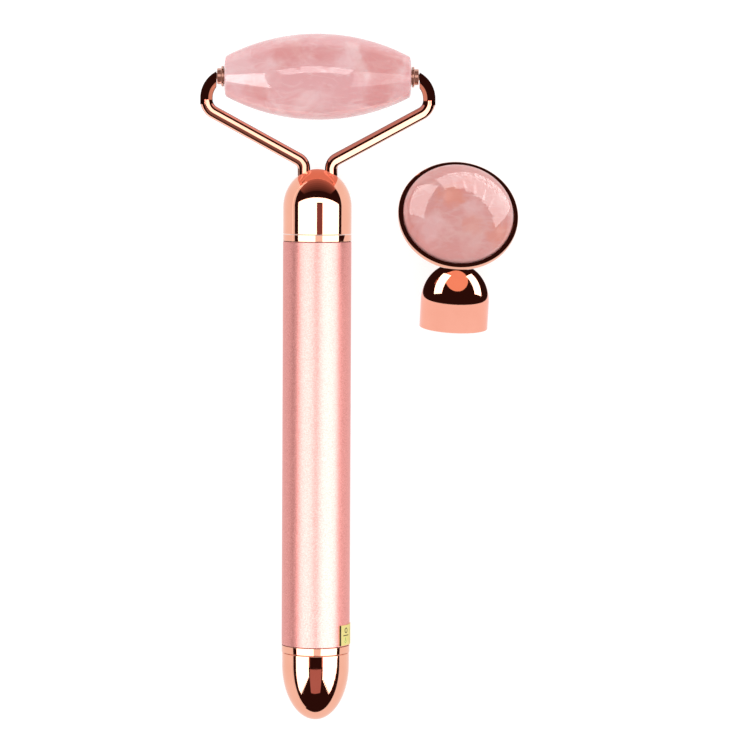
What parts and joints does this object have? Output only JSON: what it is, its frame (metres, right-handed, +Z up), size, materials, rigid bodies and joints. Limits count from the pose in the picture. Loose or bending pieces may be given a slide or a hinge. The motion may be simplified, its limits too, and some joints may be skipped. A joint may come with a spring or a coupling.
{
  "type": "face roller",
  "caption": "Battery-powered vibrating face roller: a rose-quartz barrel in a wire yoke on a slim pink metal handle, with an interchangeable cabochon massage head lying beside it.",
  "frame": {"origin": "centre of the whole set's footprint, on the surface that it lies on", "axes": "+Y along the handle from the battery cap towards the roller, +X along the roller's own axis towards the spare head, +Z up from the surface"},
  "size_m": [0.0764, 0.1652, 0.0206],
  "materials": {
    "pink_satin_metal": "satin anodised with a fine metallic grain",
    "rose_gold_chrome": "mirror-polished rose-gold plating",
    "rose_quartz": "polished, cloudy pink with pale veins",
    "bush_steel": "dark polished",
    "brass": "machined",
    "nickel_steel": "nickel-plated",
    "copper_winding": "enamelled copper wire",
    "tungsten_alloy": "sintered",
    "ferrite": "matt sintered ferrite",
    "white_plastic": "moulded",
    "black_plastic": "moulded",
    "insulating_liner": "varnished paper",
    "battery_wrap": "shrink film, plain",
    "seal_rubber": "moulded",
    "lead_red": "insulation",
    "lead_black": "insulation",
    "label_yellow": null,
    "foam_pad": "adhesive foam"
  },
  "bodies": {
    "handle": {"handle_tube": "pink_satin_metal", "upper_ring": "rose_gold_chrome", "lower_ring": "rose_gold_chrome", "head_spigot": "brass", "lower_bush": "brass", "switch_label": "label_yellow", "battery_sleeve": "insulating_liner", "battery_can": "battery_wrap", "battery_button": "nickel_steel", "positive_contact": "brass", "contact_carrier": "white_plastic", "lead_positive": "lead_red", "lead_negative": "lead_black", "motor_carrier": "white_plastic", "motor_can": "nickel_steel", "motor_magnet": "ferrite", "motor_end_cap": "black_plastic", "motor_bush": "brass"},
    "motor_rotor": {"motor_shaft": "nickel_steel", "motor_armature": "copper_winding", "eccentric_weight": "tungsten_alloy"},
    "end_cap_ring": {"end_cap_seal": "seal_rubber"},
    "end_cap": {"end_cap_shell": "rose_gold_chrome", "end_cap_insert": "white_plastic", "spring_plate": "nickel_steel", "battery_spring": "nickel_steel"},
    "head_ring": {"head_seal": "seal_rubber"},
    "roller_head": {"head_cap": "rose_gold_chrome", "head_insert": "brass", "yoke_anchor": "brass", "yoke_arm_left": "rose_gold_chrome", "yoke_arm_right": "rose_gold_chrome"},
    "roller": {"roller_stone": "rose_quartz", "roller_bush_left": "bush_steel", "roller_bush_right": "bush_steel"},
    "spare_head": {"spare_cap": "rose_gold_chrome", "spare_insert": "brass", "spare_neck": "rose_gold_chrome", "spare_bezel": "rose_gold_chrome", "spare_pad": "foam_pad", "spare_stone": "rose_quartz"}
  },
  "joints": [
    {"name": "head_slide", "type": "slide", "parent": "handle", "child": "head_ring", "axis": [0, 0.9999, 0.0152], "range_m": [0, 0.0037]},
    {"name": "head_twist", "type": "hinge", "parent": "head_ring", "child": "roller_head", "pos_m": [-0.01004, 0.03469, 0.00973], "axis": [0, 0.9999, 0.0152], "range_deg": [0, 720]},
    {"name": "roller_spin", "type": "hinge", "parent": "roller_head", "child": "roller", "pos_m": [-0.01004, 0.07229, 0.0103], "axis": [1, 0, 0], "continuous": true},
    {"name": "motor_spin", "type": "hinge", "parent": "handle", "child": "motor_rotor", "pos_m": [-0.01004, 0.01569, 0.00944], "axis": [0, 0.9999, 0.0152], "continuous": true},
    {"name": "end_cap_slide", "type": "slide", "parent": "handle", "child": "end_cap_ring", "axis": [0, -0.9999, -0.0152], "range_m": [0, 0.0037]},
    {"name": "end_cap_twist", "type": "hinge", "parent": "end_cap_ring", "child": "end_cap", "pos_m": [-0.01004, -0.06613, 0.0082], "axis": [0, -0.9999, -0.0152], "range_deg": [0, 720]},
    {"name": "spare_lift", "type": "slide", "parent": "handle", "child": "spare_head", "axis": [0, 0, 1], "range_m": [0, 0.03]}
  ],
  "couplings": [
    {"joint": "head_slide", "follows": "head_twist", "m_per_rad": 0.00028648},
    {"joint": "end_cap_slide", "follows": "end_cap_twist", "m_per_rad": 0.00028648}
  ]
}
